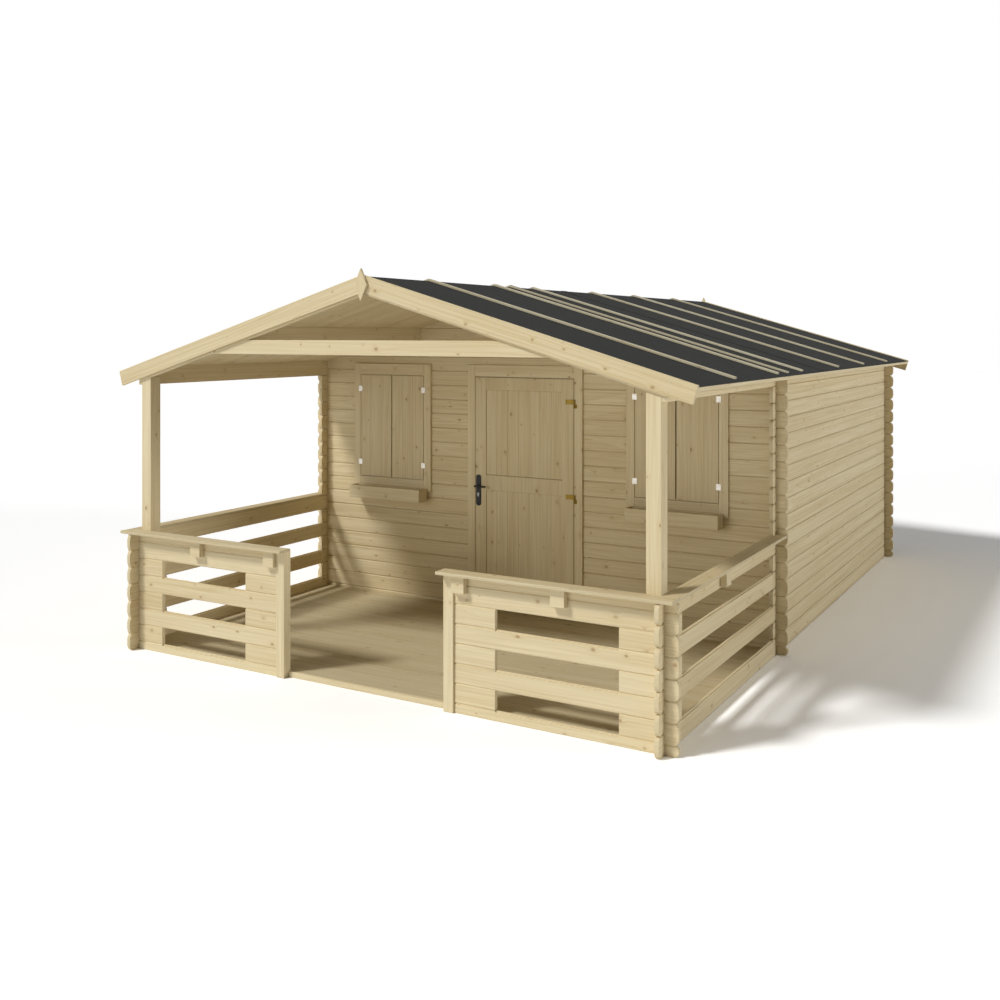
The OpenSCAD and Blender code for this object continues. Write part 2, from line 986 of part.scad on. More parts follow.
// Open boxes below the windows, against the casing
module window_boxes() {
    y0 = -casing_t - box_d;
    color(spruce)
        placed()
            both_sides()
                difference() {
                    block(
                        [window_x - box_w / 2, y0, box_z],
                        [window_x + box_w / 2, -casing_t, box_z + box_h]
                    );
                    block(
                        [window_x - box_w / 2 + box_t, y0 + box_t, box_z + box_t],
                        [window_x + box_w / 2 - box_t, -casing_t - box_t, box_z + box_h + 1]
                    );
                }
}

left_wall();
right_wall();
rear_wall();
front_wall_left();
front_wall_right();
front_gable();
cabin_floor();
porch_floor();
front_rail_left();
front_rail_right();
side_rail_left();
side_rail_right();
end_posts();
front_caps();
side_caps();
corbels();
corner_posts();
porch_plates();
front_rafters();
tie_beam();
purlins();
roof_left();
roof_right();
felt_left();
felt_right();
battens_left();
battens_right();
eave_fascias();
front_barge_left();
front_barge_right();
rear_barge_left();
rear_barge_right();
finials();
door_casing();
door_frame();
door_hinge_pins();
door_leaf();
door_hinge_straps();
handle_plate();
handle_lever();
window_casings();
shutters();
shutter_hinges();
window_boxes();
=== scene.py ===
import math

import bmesh
import bpy
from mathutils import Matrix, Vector


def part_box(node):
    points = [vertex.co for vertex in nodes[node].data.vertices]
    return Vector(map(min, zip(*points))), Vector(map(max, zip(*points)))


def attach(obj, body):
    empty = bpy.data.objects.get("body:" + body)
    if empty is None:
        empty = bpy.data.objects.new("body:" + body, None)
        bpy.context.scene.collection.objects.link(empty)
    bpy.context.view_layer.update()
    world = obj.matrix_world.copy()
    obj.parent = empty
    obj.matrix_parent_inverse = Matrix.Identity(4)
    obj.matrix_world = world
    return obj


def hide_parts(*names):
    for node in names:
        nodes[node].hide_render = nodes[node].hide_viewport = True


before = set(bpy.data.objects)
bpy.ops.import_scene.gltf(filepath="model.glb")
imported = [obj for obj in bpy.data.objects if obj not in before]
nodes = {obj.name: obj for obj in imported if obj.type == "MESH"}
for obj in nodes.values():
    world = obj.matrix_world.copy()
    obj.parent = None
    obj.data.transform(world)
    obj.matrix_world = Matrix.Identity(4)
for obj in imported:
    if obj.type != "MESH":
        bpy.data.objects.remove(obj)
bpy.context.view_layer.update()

# Sizes in metres, as in the model: one log's height, the roof's pitch, heights off the rafters,
# the rafters' peak, the length of a slope and the battens' places along Y

LOG = 0.117
PITCH = math.radians(16.3)
COS, SIN = math.cos(PITCH), math.sin(PITCH)
DECK_T = 0.018
FELT_TOP = 0.021
BATTEN_TOP = 0.036
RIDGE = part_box("front_rafters")[1][2]
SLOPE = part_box("felt_right")[1][0] / COS - FELT_TOP * SIN / COS
BATTENS = [-2.352, -1.462, -1.222, -0.852, 0.248, 1.193, 2.228]
DOUBLE = BATTENS[2]

# Chamfer of sawn boards, and small steps that keep neighbouring faces apart

EDGE = 0.002
SHIM = 0.0001
STEP = 0.0004
BUTT = 0.0005


# Materials

class Tree:
    """Short calls that add nodes to a material's tree and link them."""

    def __init__(self, material):
        self.t = material.node_tree
        self.t.nodes.clear()

    def node(self, kind, **sets):
        n = self.t.nodes.new(kind)
        for key, value in sets.items():
            setattr(n, key, value)
        return n

    def put(self, socket, value):
        if isinstance(value, bpy.types.NodeSocket):
            self.t.links.new(value, socket)
        else:
            socket.default_value = value

    def math(self, op, a, b=None, c=None, clamp=False):
        n = self.node("ShaderNodeMath", operation=op, use_clamp=clamp)
        for socket, value in zip(n.inputs, (a, b, c)):
            if value is not None:
                self.put(socket, value)
        return n.outputs[0]

    def add(self, *terms):
        total = terms[0]
        for term in terms[1:]:
            total = self.math("ADD", total, term)
        return total

    def times(self, a, b):
        return self.math("MULTIPLY", a, b)

    def xyz(self, x, y, z):
        n = self.node("ShaderNodeCombineXYZ")
        for socket, value in zip(n.inputs, (x, y, z)):
            self.put(socket, value)
        return n.outputs[0]

    def split(self, vector):
        n = self.node("ShaderNodeSeparateXYZ")
        self.put(n.inputs[0], vector)
        return n.outputs

    def noise(self, vector, scale=1.0, detail=3.0, rough=0.5):
        n = self.node("ShaderNodeTexNoise")
        for key, value in (("Vector", vector), ("Scale", scale), ("Detail", detail), ("Roughness", rough)):
            self.put(n.inputs[key], value)
        return n.outputs["Fac"]

    def ramp(self, value, low, high, out_low=0.0, out_high=1.0, smooth=True):
        n = self.node("ShaderNodeMapRange", interpolation_type="SMOOTHSTEP" if smooth else "LINEAR")
        for socket, v in zip(n.inputs, (value, low, high, out_low, out_high)):
            self.put(socket, v)
        return n.outputs[0]

    def mix(self, factor, a, b):
        n = self.node("ShaderNodeMix", data_type="RGBA")
        self.put(n.inputs["Factor"], factor)
        self.put(n.inputs["A"], a)
        self.put(n.inputs["B"], b)
        return n.outputs["Result"]

    def finish(self, color, roughness, height, strength, distance, **sets):
        bsdf = self.node("ShaderNodeBsdfPrincipled")
        self.put(bsdf.inputs["Base Color"], color)
        self.put(bsdf.inputs["Roughness"], roughness)
        for key, value in sets.items():
            self.put(bsdf.inputs[key.replace("_", " ")], value)
        bump = self.node("ShaderNodeBump")
        bump.inputs["Strength"].default_value = strength
        bump.inputs["Distance"].default_value = distance
        self.put(bump.inputs["Height"], height)
        self.put(bsdf.inputs["Normal"], bump.outputs[0])
        out = self.node("ShaderNodeOutputMaterial")
        self.put(out.inputs[0], bsdf.outputs[0])


def material(name):
    m = bpy.data.materials.new(name)
    m.use_nodes = True
    return m


PALE = (0.76, 0.657, 0.432)
DEEP = (0.60, 0.472, 0.26)
KNOT = (0.33, 0.18, 0.08)


def tint(color, tone):
    return tuple(min(1.0, c * tone) for c in color) + (1,)


def wood(name, grain, row=None, pitch=1.0, offset=0.0, slope=False, tone=1.0, vary=0.34, seam=0.0,
         cast=(1, 1, 1)):
    """Planed spruce. grain is the axis the fibres follow, row the axis along which logs change every pitch.

    slope turns the axes into the roof's slope, vary is the spread of tone between boards, seam paints
    shade into the open joints between logs, and cast scales the red, green and blue of the wood's colours.
    """
    pale, deep, dark = [tuple(c * k for c, k in zip(color, cast)) for color in (PALE, DEEP, KNOT)]
    m = material(name)
    t = Tree(m)
    coords = t.node("ShaderNodeTexCoord")
    x, y, z = t.split(coords.outputs["Object"])
    nx, ny, nz = t.split(coords.outputs["Normal"])
    if slope:
        side = t.math("GREATER_THAN", x, 0.0)
        ax = t.math("ABSOLUTE", x)
        down = t.math("SUBTRACT", t.times(ax, COS), t.times(z, SIN))
        x, z = down, t.add(t.times(ax, SIN), t.times(z, COS))
        flat = t.math("ABSOLUTE", nx)
        nx = t.math("SUBTRACT", t.times(flat, COS), t.times(t.math("ABSOLUTE", nz), SIN))
    else:
        side = 0.0
    axes = {"X": x, "Y": y, "Z": z}
    u = axes[grain]
    v, w = [axes[k] for k in "ZXY" if k != grain]
    board = 0.0
    if row:
        board = t.math("FLOOR", t.math("DIVIDE", t.math("SUBTRACT", axes[row], offset), pitch))
    island = t.node("ShaderNodeNewGeometry").outputs["Random Per Island"]
    rnd = t.node("ShaderNodeTexWhiteNoise", noise_dimensions="1D")
    t.put(rnd.inputs["W"], t.add(t.times(board, 7.31), t.times(island, 91.7), t.times(side, 41.3)))
    chance = rnd.outputs["Value"]
    shift = t.times(chance, 37.0)
    along = t.math("ADD", u, shift)
    across = t.add(v, w, shift)

    # Knots lie on a plane of fibre length and girth, so that they show on every long face
    cell = t.node("ShaderNodeTexVoronoi", voronoi_dimensions="2D", feature="F1")
    t.put(cell.inputs["Vector"], t.xyz(t.times(along, 0.75), across, 0.0))
    cell.inputs["Scale"].default_value = 5.6
    cr, cg, _ = t.split(cell.outputs["Color"])
    radius = t.ramp(cr, 0.2, 1.0, 0.015, 0.075, smooth=False)
    near = t.math("DIVIDE", cell.outputs["Distance"], radius)
    real = t.ramp(cr, 0.2, 0.35)
    knot = t.times(t.ramp(near, 0.35, 1.15, 1.0, 0.0), real)
    halo = t.times(t.ramp(near, 0.6, 3.4, 1.0, 0.0), real)

    # Fibres bend round the knots
    bent = t.math("ADD", across, t.times(halo, 0.012))
    fine = t.noise(t.xyz(t.times(along, 4.0), t.times(bent, 230.0), t.times(w, 90.0)), 1.0, 3.0, 0.6)
    streak = t.noise(t.xyz(t.times(along, 1.1), t.times(bent, 62.0), t.times(w, 30.0)), 1.0, 3.0, 0.55)
    slow = t.noise(t.xyz(t.times(along, 0.5), t.times(across, 8.0), shift), 1.0, 2.0, 0.5)
    rings = t.math("SINE", t.math("ADD", t.times(bent, 300.0), t.times(slow, 50.0)))
    rings = t.ramp(rings, -0.3, 1.0)
    cloud = t.noise(t.xyz(t.times(along, 0.8), t.times(across, 5.0), 3.7), 1.0, 2.0, 0.5)
    figure = t.add(t.times(t.ramp(streak, 0.3, 0.72), 0.42), t.times(t.ramp(fine, 0.3, 0.7), 0.18),
                   t.times(rings, 0.18), t.times(t.ramp(cloud, 0.3, 0.72), 0.22),
                   t.times(t.math("SUBTRACT", chance, 0.55), vary))
    figure = t.math("ADD", figure, t.times(halo, 0.2), clamp=True)
    color = t.mix(figure, tint(pale, tone), tint(deep, tone))
    color = t.mix(t.times(knot, t.ramp(cg, 0.0, 1.0, 0.22, 0.68)), color, tint(dark, tone))

    # Sawn ends show growth rings about a pith that lies off the middle
    a, b = t.math("PINGPONG", t.math("ADD", v, t.times(chance, 0.3)), 0.09), t.math("ADD", w, 0.07)
    pith = t.math("SQRT", t.add(t.times(a, a), t.times(b, b)))
    end_rings = t.ramp(t.math("SINE", t.math("ADD", t.times(pith, 1500.0), t.times(fine, 3.0))), -0.4, 1.0)
    end_color = t.mix(t.math("ADD", t.times(end_rings, 0.5), t.times(fine, 0.3)), tint(pale, tone * 0.97),
                      tint(deep, tone * 0.9))
    across_end = t.ramp(t.math("ABSOLUTE", {"X": nx, "Y": ny, "Z": nz}[grain]), 0.72, 0.86)
    color = t.mix(across_end, color, end_color)
    if seam:
        # Painted shade in the open joint between two logs
        apart = t.math("PINGPONG", t.math("SUBTRACT", axes[row], offset), pitch / 2)
        color = t.mix(t.ramp(apart, 0.001, 0.0035, seam, 0.0), color, tint(dark, 0.5))
    height = t.add(t.times(fine, 0.5), t.times(streak, 0.4), t.times(rings, 0.25), t.times(knot, 0.3))
    t.finish(color, t.ramp(figure, 0.0, 1.0, 0.6, 0.74), height, 0.16, 0.0015, Specular_IOR_Level=0.12)
    return m


def plain(name, color, rough, metal=0.0, grain=300.0, spec=0.5):
    """Painted, plastic or plated metal with fine mottling and a worn sheen."""
    m = material(name)
    t = Tree(m)
    co = t.node("ShaderNodeTexCoord").outputs["Object"]
    fine = t.noise(co, grain, 3.0, 0.6)
    worn = t.noise(co, grain * 0.12, 3.0, 0.6)
    blot = t.math("ADD", t.times(fine, 0.6), t.times(worn, 0.4))
    sheen = t.ramp(worn, 0.2, 0.8, rough - 0.08, rough + 0.08)
    t.finish(t.mix(blot, tint(color, 1.06), tint(color, 0.84)), sheen, fine, 0.06, 0.0005,
             Metallic=metal, Specular_IOR_Level=spec)
    return m


def felt(name):
    """Mineral roofing felt: dark granules, with pale specks and faint stains down the slope."""
    m = material(name)
    t = Tree(m)
    co = t.node("ShaderNodeTexCoord").outputs["Object"]
    x, y, _ = t.split(co)
    grit = t.noise(co, 520.0, 2.0, 0.7)
    speck = t.node("ShaderNodeTexVoronoi", feature="F1")
    t.put(speck.inputs["Vector"], co)
    speck.inputs["Scale"].default_value = 330.0
    pale = t.times(t.ramp(speck.outputs["Distance"], 0.12, 0.3, 1.0, 0.0),
                   t.ramp(t.split(speck.outputs["Color"])[0], 0.72, 0.9))
    patch = t.noise(co, 2.4, 4.0, 0.6)
    run = t.noise(t.xyz(t.times(x, 0.5), t.times(y, 9.0), 0.0), 1.0, 3.0, 0.6)
    fac = t.math("ADD", t.add(t.times(grit, 0.45), t.times(patch, 0.3)), t.times(run, 0.25), clamp=True)
    color = t.mix(fac, (0.0130, 0.0136, 0.0130, 1), (0.0378, 0.0387, 0.0357, 1))
    color = t.mix(t.times(pale, 0.35), color, (0.10, 0.10, 0.094, 1))
    t.finish(color, t.ramp(grit, 0.2, 0.8, 0.86, 0.97), t.math("ADD", grit, t.times(pale, 0.5)), 0.35, 0.001,
             Specular_IOR_Level=0.08)
    return m


LOOKS = {
    # seam paints shade into the open joints of the wall logs
    "x_log": wood("spruce_cross_logs", "X", "Z", LOG, LOG / 2, seam=0.3),
    "y_log": wood("spruce_side_logs", "Y", "Z", LOG, 0.0, seam=0.45),
    "x_rail": wood("spruce_front_rails", "X", "Z", LOG, LOG / 2),
    "y_rail": wood("spruce_side_rails", "Y", "Z", LOG, 0.0),
    "x": wood("spruce_along_x", "X"),
    "y": wood("spruce_along_y", "Y"),
    "z": wood("spruce_upright", "Z"),
    "panel": wood("spruce_panel_boards", "Z", tone=0.97, vary=0.12),
    "slope": wood("spruce_on_slope", "X", slope=True),
    "batten": wood("weathered_battens", "X", slope=True, cast=(0.84, 0.90, 1.02)),
    # The floor boards are darkened to 0.72 as painted shade on their upward faces
    "floor": wood("spruce_floor_painted_shade", "X", tone=0.72),
    # The caps are darkened to 0.86 as painted shade on their tops
    "x_cap": wood("spruce_caps_along_x_painted_shade", "X", tone=0.86),
    "y_cap": wood("spruce_caps_along_y_painted_shade", "Y", tone=0.86),
    "felt": felt("roofing_felt"),
    "brass": plain("dull_brass", (0.22, 0.145, 0.030), 0.48, 1.0),
    "black": plain("satin_black", (0.010, 0.010, 0.010), 0.5, spec=0.3),
    "white": plain("bright_zinc", (0.80, 0.765, 0.69), 0.5, 0.6),
    "steel": plain("lock_steel", (0.38, 0.37, 0.35), 0.4, 1.0),
    "nail": plain("galvanised_nail", (0.42, 0.42, 0.41), 0.5, 1.0),
}
CAD_LOOKS = {
    "x_log": "rear_wall front_wall_left front_wall_right front_gable",
    "y_log": "left_wall right_wall",
    "x_rail": "front_rail_left front_rail_right",
    "y_rail": "side_rail_left side_rail_right porch_plates",
    "x": "tie_beam corbels",
    "y": "purlins",
    "x_cap": "front_caps",
    "y_cap": "side_caps",
    "z": "end_posts corner_posts door_frame finials",
    "slope": "front_rafters front_barge_left front_barge_right rear_barge_left rear_barge_right",
    "batten": "battens_left battens_right",
    "felt": "felt_left felt_right",
    "brass": "door_hinge_pins door_hinge_straps",
    "black": "handle_plate handle_lever",
    "white": "shutter_hinges",
}
for look, names in CAD_LOOKS.items():
    for name in names.split():
        data = nodes[name].data
        data.materials.clear()
        data.materials.append(LOOKS[look])

# Softened edges on the sawn timber and the metal plates, by width of the bevel

MERGE = 0.00002
ROUNDED = {
    0.0035: "corner_posts end_posts front_caps side_caps corbels",
    0.0025: "front_rafters tie_beam porch_plates purlins battens_left battens_right finials door_frame "
            "front_barge_left front_barge_right rear_barge_left rear_barge_right handle_plate",
    0.0018: "front_rail_left front_rail_right side_rail_left side_rail_right",
    0.0010: "shutter_hinges door_hinge_straps door_hinge_pins",
}
for width, names in ROUNDED.items():
    for name in names.split():
        weld = nodes[name].modifiers.new("weld", "WELD")
        weld.merge_threshold = MERGE
        flat = nodes[name].modifiers.new("flat", "DECIMATE")
        flat.decimate_type = "DISSOLVE"
        flat.angle_limit = math.radians(0.5)
        soft = nodes[name].modifiers.new("soft", "BEVEL")
        soft.width = width
        soft.segments = 2
        soft.limit_method = "ANGLE"
        soft.angle_limit = math.radians(66)
for name in "left_wall right_wall rear_wall front_wall_left front_wall_right front_gable".split():
    weld = nodes[name].modifiers.new("weld", "WELD")
    weld.merge_threshold = MERGE


# Mesh helpers

def inset(points, d):
    """A convex outline moved inwards by d."""
    count = len(points)
    area = sum(points[i][0] * points[(i + 1) % count][1] - points[(i + 1) % count][0] * points[i][1]
               for i in range(count))
    turn = 1 if area > 0 else -1
    lines = []
    for i in range(count):
        p, q = Vector(points[i]), Vector(points[(i + 1) % count])
        e = (q - p).normalized()
        n = Vector((-e.y, e.x)) * turn
        lines.append((p + n * d, e))
    out = []
    for i in range(count):
        (p, e), (q, g) = lines[i - 1], lines[i]
        cross = e.x * g.y - e.y * g.x
        k = ((q.x - p.x) * g.y - (q.y - p.y) * g.x) / cross
        out.append((p.x + e.x * k, p.y + e.y * k))
    return out


class Piece:
    """Closed boards and fittings gathered in one mesh."""

    def __init__(self):
        self.points = []
        self.faces = []

    def put(self, points, faces, place=None):
        start = len(self.points)
        self.points += [place(p) if place else p for p in points]
        self.faces += [[start + i for i in face] for face in faces]

    def board(self, low, high, edge=EDGE, place=None):
        """A box with chamfered edges."""
        mid = [(a + b) / 2 for a, b in zip(low, high)]
        half = [(b - a) / 2 for a, b in zip(low, high)]
        points, index = [], {}
        signs = [(i, j, k) for i in (-1, 1) for j in (-1, 1) for k in (-1, 1)]
        for corner in signs:
            for axis in range(3):
                index[corner, axis] = len(points)
                points.append(tuple(mid[a] + corner[a] * (half[a] - (0 if a == axis else edge))
                                    for a in range(3)))
        faces = [[index[c, axis] for axis in range(3)] for c in signs]
        for axis in range(3):
            b, c = [a for a in range(3) if a != axis]
            for sign in (-1, 1):
                ring = []
                for sb, sc in ((-1, -1), (1, -1), (1, 1), (-1, 1)):
                    corner = [0, 0, 0]
                    corner[axis], corner[b], corner[c] = sign, sb, sc
                    ring.append(index[tuple(corner), axis])
                faces.append(ring)
            for sb in (-1, 1):
                for sc in (-1, 1):
                    ends = []
                    for sign in (-1, 1):
                        corner = [0, 0, 0]
                        corner[axis], corner[b], corner[c] = sign, sb, sc
                        ends.append(tuple(corner))
                    one, two = ends
                    faces.append([index[one, b], index[two, b], index[two, c], index[one, c]])
        self.put(points, faces, place)

    def plank(self, outline, y0, y1, edge):
        """A convex outline in X and Z, run along Y, with both rims chamfered."""
        small = inset(outline, edge)
        n = len(outline)
        points = []
        for y, ring in ((y0, small), (y0 + edge, outline), (y1 - edge, outline), (y1, small)):
            points += [(x, y, z) for x, z in ring]
        faces = [list(range(n)), list(range(3 * n, 4 * n))]
        for k in range(3):
            for i in range(n):
                j = (i + 1) % n
                faces.append([k * n + i, k * n + j, (k + 1) * n + j, (k + 1) * n + i])
        self.put(points, faces)

    def head(self, point, normal, radius, height, slot=False, sides=14):
        """The round head of a nail or screw, dished to a sunk centre if it is a screw."""
        middle, n = Vector(point), Vector(normal).normalized()
        e = n.orthogonal().normalized()
        g = n.cross(e)
        rings = ((1.0, -0.2), (1.0, 0.35), (0.8, 0.8), (0.45, 1.0))
        points, faces = [], []
        for r, h in rings:
            for i in range(sides):
                a = 2 * math.pi * i / sides
                out = e * math.cos(a) + g * math.sin(a)
                points.append(tuple(middle + out * radius * r + n * height * h))
        faces.append(list(range(sides)))
        for k in range(len(rings) - 1):
            for i in range(sides):
                j = (i + 1) % sides
                faces.append([k * sides + i, k * sides + j, (k + 1) * sides + j, (k + 1) * sides + i])
        top = list(range((len(rings) - 1) * sides, len(rings) * sides))
        if slot:
            points.append(tuple(middle + n * height * 0.25))
            faces += [[top[i], top[(i + 1) % sides], len(points) - 1] for i in range(sides)]
        else:
            faces.append(top)
        self.put(points, faces)

    def done(self, name, body, slot, look, *replaced):
        mesh = bpy.data.meshes.new(name)
        mesh.from_pydata(self.points, [], self.faces)
        bm = bmesh.new()
        bm.from_mesh(mesh)
        bmesh.ops.recalc_face_normals(bm, faces=bm.faces)
        bm.to_mesh(mesh)
        bm.free()
        mesh.materials.append(LOOKS[look])
        obj = bpy.data.objects.new(name, mesh)
        bpy.context.scene.collection.objects.link(obj)
        if replaced:
            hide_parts(*replaced)
        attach(obj, body)
        return obj


def on_slope(side):
    """Maps (distance down the slope, Y, height off the rafters) to a point on one side of the roof."""
    return lambda p: (side * (p[0] * COS + p[2] * SIN), p[1], RIDGE - p[0] * SIN + p[2] * COS)


def strip(side, n0, n1, s):
    """Outline of a sheet on one side of the roof, cut upright at the ridge."""
    at = on_slope(side)
    low, high = at((s, 0, n0)), at((s, 0, n1))
    return [(0.0, RIDGE + n0 / COS), (low[0], low[2]), (high[0], high[2]), (0.0, RIDGE + n1 / COS)]


def runs(start, end, count):
    """count equal runs from start to end."""
    step = (end - start) / count
    return [(start + i * step, start + (i + 1) * step) for i in range(count)]


# Roof boards, fascias, felt laps and nails

ROOF_BOARDS = 65
FASCIA_JOINT, FASCIA_H, FASCIA_T = -0.355, 0.025, 0.020
JOINT_GAP = 0.0006
LAP = (-0.002, 0.098)
LAP_T = 0.0022
BATTEN_BACK = 0.041
FELT_HALF, FELT_STRIP_T = 0.006, 0.0012
NAIL_R, NAIL_H = 0.0026, 0.0007
roof_low, roof_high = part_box("roof_right")
for side, word in ((-1, "left"), (1, "right")):
    boards = Piece()
    outline = strip(side, SHIM, DECK_T - SHIM, SLOPE - FASCIA_T - SHIM)
    for y0, y1 in runs(roof_low[1], roof_high[1], ROOF_BOARDS):
        boards.plank(outline, y0, y1, 0.003)
    boards.done("roof_boards_" + word, "cabin", "spruce", "slope", "roof_" + word)

fascias = Piece()
for side in (-1, 1):
    for y0, y1 in ((roof_low[1], FASCIA_JOINT - JOINT_GAP), (FASCIA_JOINT + JOINT_GAP, roof_high[1])):
        fascias.board((SLOPE - FASCIA_T, y0, DECK_T - FASCIA_H), (SLOPE, y1, DECK_T - SHIM),
                      place=on_slope(side))
fascias.done("fascia_boards", "cabin", "spruce", "y", "eave_fascias")

laps = Piece()
for side in (-1, 1):
    outline = strip(side, FELT_TOP, FELT_TOP + LAP_T, SLOPE - 0.001)
    laps.plank(outline, FASCIA_JOINT + LAP[0], FASCIA_JOINT + LAP[1], 0.0009)
laps.done("felt_lap", "cabin", "felt", "felt")

# A felt strip runs along one batten and leaves its two edges showing
seam = Piece()
for side in (-1, 1):
    outline = strip(side, BATTEN_TOP, BATTEN_TOP + FELT_STRIP_T, SLOPE - BATTEN_BACK)
    seam.plank(outline, DOUBLE - FELT_HALF, DOUBLE + FELT_HALF, 0.0005)
seam.done("felt_over_batten", "cabin", "felt", "felt")

nails = Piece()
for side in (-1, 1):
    at = on_slope(side)
    for y in BATTENS:
        beside = 0.0095 if y == DOUBLE else 0.0
        for k in range(7):
            nails.head(at((0.12 + 0.33 * k, y + beside, BATTEN_TOP)), (side * SIN, 0, COS), 0.0032, 0.0012)
    for y in (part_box("front_barge_right")[0][1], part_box("rear_barge_right")[1][1]):
        out = -1 if y < 0 else 1
        for k in range(8):
            for n in (-0.055, 0.0):
                nails.head(at((0.16 + 0.28 * k, y, n)), (0, out, 0), NAIL_R, NAIL_H)
    for k in range(14):
        y = roof_low[1] + 0.1 + (roof_high[1] - roof_low[1] - 0.2) * k / 13
        nails.head(at((SLOPE, y, DECK_T - FASCIA_H / 2)), (side * COS, 0, -SIN), NAIL_R, NAIL_H)
nails.done("roof_nails", "cabin", "hinge_white", "nail")

# Floors

FLOOR_EDGE = 0.0018
PORCH_BOARDS, CABIN_BOARDS = 22, 40
HALF_IN, HALF_OUT = 0.613, 0.683
low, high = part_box("porch_floor")
front_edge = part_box("end_posts")[1][1]
boards = Piece()
for y0, y1 in runs(front_edge, high[1], PORCH_BOARDS):
    boards.board((low[0], y0, low[2]), (high[0], y1, high[2]), FLOOR_EDGE)
boards.done("porch_floor_boards", "cabin", "spruce", "floor", "porch_floor")
rim = Piece()
for x0, x1 in ((low[0], -HALF_OUT), (-HALF_IN, HALF_IN), (HALF_OUT, high[0])):
    rim.board((x0, low[1], low[2]), (x1, front_edge, high[2]))
rim.done("porch_floor_rim", "cabin", "spruce", "x")
low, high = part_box("cabin_floor")
boards = Piece()
for y0, y1 in runs(low[1], high[1], CABIN_BOARDS):
    boards.board((low[0], y0, low[2]), (high[0], y1, high[2]), FLOOR_EDGE)
boards.done("cabin_floor_boards", "cabin", "spruce", "floor", "cabin_floor")

# Door: framed leaf with upright boards let into it, casing, lock and screws

low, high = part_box("door_leaf")
STILE, MID_RAIL, BOTTOM_RAIL, SUNK = 0.100, (0.985, 1.105), 0.150, 0.008
DOOR_BOARDS = 7
leaf = Piece()
left, right = low[0] + STILE, high[0] - STILE
for x0, x1 in ((low[0], left), (right, high[0])):
    leaf.board((x0, low[1], low[2]), (x1, high[1], high[2]))
for z0, z1 in ((low[2], low[2] + BOTTOM_RAIL), MID_RAIL, (high[2] - STILE, high[2])):
    leaf.board((left, low[1] + STEP, z0), (right, high[1] - STEP, z1))
for z0, z1 in ((low[2] + BOTTOM_RAIL, MID_RAIL[0]), (MID_RAIL[1] + 0.002, high[2] - STILE)):
    for x0, x1 in runs(left, right, DOOR_BOARDS):
        leaf.board((x0, low[1] + SUNK, z0), (x1, high[1] - SUNK, z1), 0.0026)
leaf.done("door_boards", "door", "spruce", "panel", "door_leaf")

DOOR_HALF, DOOR_HEAD = 0.445, 1.892
low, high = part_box("door_casing")
casing = Piece()
for x0, x1 in ((low[0], -DOOR_HALF), (DOOR_HALF, high[0])):
    casing.board((x0, low[1], low[2]), (x1, high[1], high[2]))
casing.done("door_casing_sides", "cabin", "spruce", "z", "door_casing")
casing = Piece()
casing.board((-DOOR_HALF, low[1] + BUTT, DOOR_HEAD), (DOOR_HALF, high[1], high[2]))
casing.done("door_casing_head", "cabin", "spruce", "x")

plate_low, plate_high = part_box("handle_plate")
plate_x, plate_y = (plate_low[0] + plate_high[0]) / 2, plate_low[1]
LOCK_Z, LOCK_R = 0.950, 0.0085
lock = Piece()
outline = [(plate_x + LOCK_R * math.cos(a), LOCK_Z + LOCK_R * math.sin(a))
           for a in [math.radians(d) for d in range(-50, 231, 20)]]
outline += [(plate_x + x, LOCK_Z + z) for x, z in ((-0.005, -0.021), (0.0, -0.0225), (0.005, -0.021))]
count = len(outline)
ring = [(x, y, z) for y in (plate_y - 0.0025, plate_y + 0.001) for x, z in outline]
lock.put(ring, [list(range(count)), list(range(count, 2 * count))]
         + [[i, (i + 1) % count, count + (i + 1) % count, count + i] for i in range(count)])
lock.done("door_lock", "door", "handle_black", "steel")
# A black sliver on the lock's face stands in for the keyway's slot: painted shade, not a hole
keyway = Piece()
keyway.board((plate_x - 0.0012, plate_y - 0.0029, LOCK_Z - 0.006),
             (plate_x + 0.0012, plate_y - 0.002, LOCK_Z + 0.003), 0.0002)
keyway.done("door_keyway", "door", "handle_black", "black")

screws = Piece()
for z in (plate_low[2] + 0.02, plate_high[2] - 0.02):
    screws.head((plate_x, plate_y, z), (0, -1, 0), 0.0042, 0.0016, slot=True)
screws.done("plate_screws", "door", "handle_black", "black")
HINGE_TOPS, STRAP_FACE = (0.999, 1.730), -1.025
STRAP_SCREWS = ((0.386, -0.010), (0.386, -0.026), (0.410, -0.018), (0.430, -0.010), (0.430, -0.026))
screws = Piece()
for top in HINGE_TOPS:
    for x, z in STRAP_SCREWS:
        screws.head((x, STRAP_FACE, top + z), (0, -1, 0), 0.0034, 0.0012, slot=True)
screws.done("hinge_screws", "door", "hinge_brass", "brass")

# Windows: boarded shutters, casings and planter boxes

